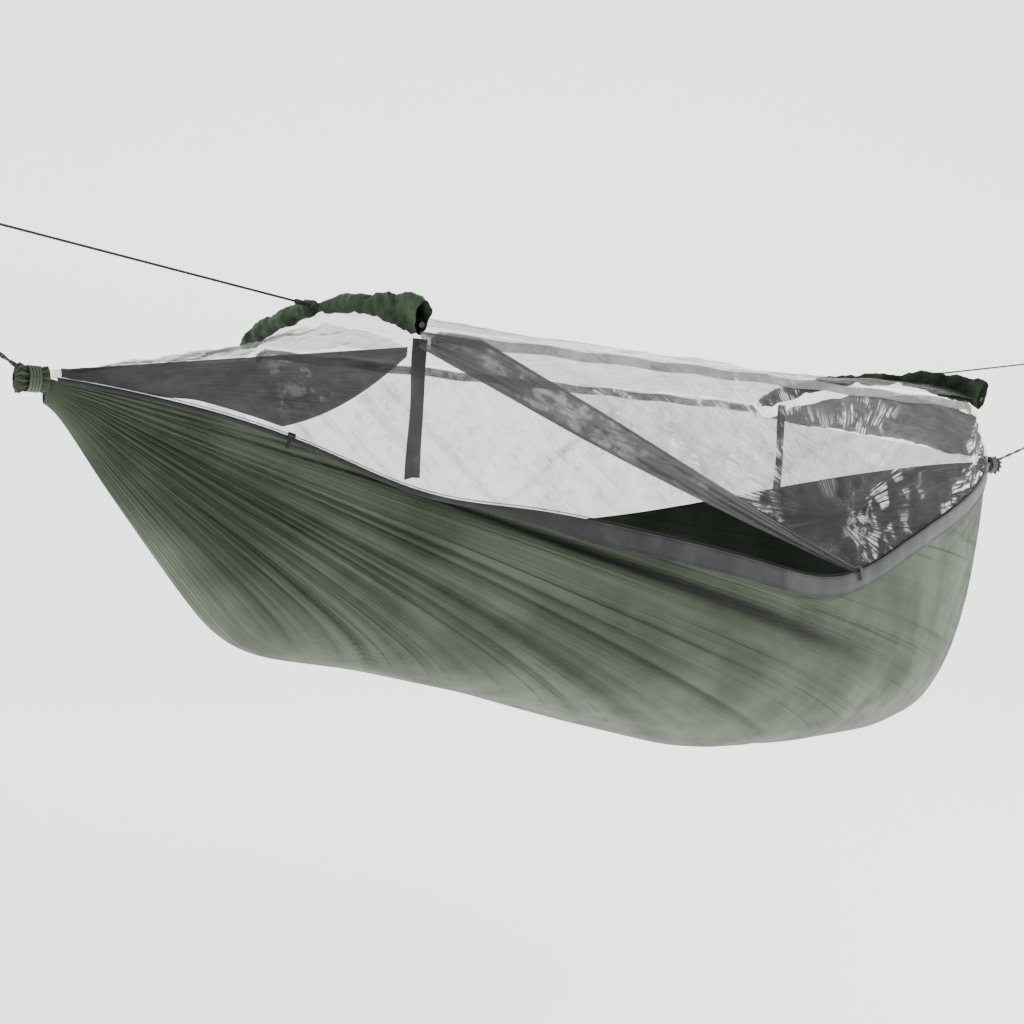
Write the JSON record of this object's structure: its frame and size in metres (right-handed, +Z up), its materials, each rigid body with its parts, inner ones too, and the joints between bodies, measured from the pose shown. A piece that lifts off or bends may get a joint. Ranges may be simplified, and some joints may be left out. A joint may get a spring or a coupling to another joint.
{
  "type": "camping hammock",
  "caption": "Gathered-end camping hammock with a pole-spread insect net, open side door and taut suspension cords.",
  "frame": {"origin": "centre of the head main ring, where the head end is tied to its anchor", "axes": "+X from the head end to the foot end, +Y away from the open door, +Z up"},
  "size_m": [2.6635, 0.8435, 0.8779],
  "materials": {
    "bed_cloth": "ripstop, slight sheen",
    "bed_lining": "ripstop, matte",
    "sleeve_cloth": "ripstop, slight sheen",
    "net": "fine mesh",
    "tape": "woven, matte",
    "zip": "coil zip",
    "slider": "satin black",
    "main_cord": "braided",
    "ridge_cord": "braided",
    "whipping": "wound cord",
    "ring": "satin",
    "pole": "glass fibre, satin",
    "ferrule": "satin",
    "tip": "moulded",
    "shock_cord": "covered elastic"
  },
  "bodies": {
    "anchors": {"head_main_ring": "ring", "foot_main_ring": "ring", "head_ridge_ring": "ring", "foot_ridge_ring": "ring"},
    "hammock": {"head_main_cord": "main_cord", "foot_main_cord": "main_cord", "head_main_eye": "main_cord", "foot_main_eye": "main_cord", "head_gather": "bed_cloth", "foot_gather": "bed_cloth", "head_whipping": "whipping", "foot_whipping": "whipping", "bed_outer_layer": "bed_cloth", "bed_inner_layer": "bed_lining", "near_hem": "tape", "far_hem": "tape", "door_zip": "zip", "net_top_panel": "net", "net_far_panel": "net", "net_near_head_panel": "net", "net_near_foot_panel": "net", "net_head_end_panel": "net", "net_foot_end_panel": "net", "net_head_arch_panel": "net", "net_foot_arch_panel": "net", "net_lifted_edge": "net", "net_near_seam_tape": "tape", "net_far_seam_tape": "tape", "head_pole_sleeve": "sleeve_cloth", "foot_pole_sleeve": "sleeve_cloth", "head_ridge_loop": "ridge_cord", "foot_ridge_loop": "ridge_cord"},
    "head_ridge_line": {"head_ridge_cord": "ridge_cord", "head_ridge_inner_eye": "ridge_cord", "head_ridge_outer_eye": "ridge_cord"},
    "foot_ridge_line": {"foot_ridge_cord": "ridge_cord", "foot_ridge_inner_eye": "ridge_cord", "foot_ridge_outer_eye": "ridge_cord"},
    "head_pole": {"head_pole_near_section": "pole", "head_pole_far_section": "pole", "head_pole_ferrule": "ferrule", "head_pole_tips": "tip", "head_pole_shock_cord": "shock_cord"},
    "foot_pole": {"foot_pole_near_section": "pole", "foot_pole_far_section": "pole", "foot_pole_ferrule": "ferrule", "foot_pole_tips": "tip", "foot_pole_shock_cord": "shock_cord"},
    "near_strap": {"near_strap": "tape", "near_strap_fold": "tape"},
    "far_strap": {"far_strap": "tape", "far_strap_fold": "tape"},
    "head_slider": {"head_slider": "slider"},
    "head_pull": {"head_slider_pull": "slider"},
    "foot_slider": {"foot_slider": "slider"},
    "foot_pull": {"foot_slider_pull": "slider"}
  },
  "joints": [
    {"name": "hammock_swing", "type": "hinge", "parent": "anchors", "child": "hammock", "pos_m": [0, 0, 0], "axis": [1, 0, -0.0054], "range_deg": [-12, 12]},
    {"name": "head_ridge_follow", "type": "hinge", "parent": "anchors", "child": "head_ridge_line", "pos_m": [-0.02, 0, 0.136], "axis": [0.1095, 0, 0.994], "range_deg": [-1.8, 1.8]},
    {"name": "foot_ridge_follow", "type": "hinge", "parent": "anchors", "child": "foot_ridge_line", "pos_m": [2.59, 0, 0.174], "axis": [-0.1624, 0, 0.9867], "range_deg": [-1.8, 1.8]},
    {"name": "head_pole_draw", "type": "hinge", "parent": "hammock", "child": "head_pole", "pos_m": [0.61, 0, -0.92201], "axis": [1, 0, 0], "range_deg": [0, 35]},
    {"name": "foot_pole_draw", "type": "hinge", "parent": "hammock", "child": "foot_pole", "pos_m": [1.93, 0, -0.92201], "axis": [1, 0, 0], "range_deg": [0, 35]},
    {"name": "near_strap_swing", "type": "hinge", "parent": "hammock", "child": "near_strap", "pos_m": [0.622, -0.283, 0.0048], "axis": [1, 0, 0], "range_deg": [-2, 45]},
    {"name": "far_strap_swing", "type": "hinge", "parent": "hammock", "child": "far_strap", "pos_m": [1.93, 0.236, 0.0175], "axis": [-1, 0, 0], "range_deg": [-2, 30]},
    {"name": "head_slider_slide", "type": "slide", "parent": "hammock", "child": "head_slider", "axis": [0.833, -0.4724, -0.2881], "range_m": [-0.05, 0]},
    {"name": "foot_slider_slide", "type": "slide", "parent": "hammock", "child": "foot_slider", "axis": [0.9557, 0.1511, 0.2525], "range_m": [0, 0.04]},
    {"name": "head_pull_swing", "type": "hinge", "parent": "head_slider", "child": "head_pull", "pos_m": [0.4585, -0.20886, -0.14917], "axis": [0.833, -0.4724, -0.2881], "range_deg": [-110, 0]},
    {"name": "foot_pull_swing", "type": "hinge", "parent": "foot_slider", "child": "foot_pull", "pos_m": [1.47911, -0.40763, -0.31601], "axis": [0.9557, 0.1511, 0.2525], "range_deg": [-110, 0]}
  ],
  "couplings": [
    {"joint": "head_ridge_follow", "follows": "hammock_swing", "ratio": -0.1209},
    {"joint": "foot_ridge_follow", "follows": "hammock_swing", "ratio": 0.1265}
  ]
}
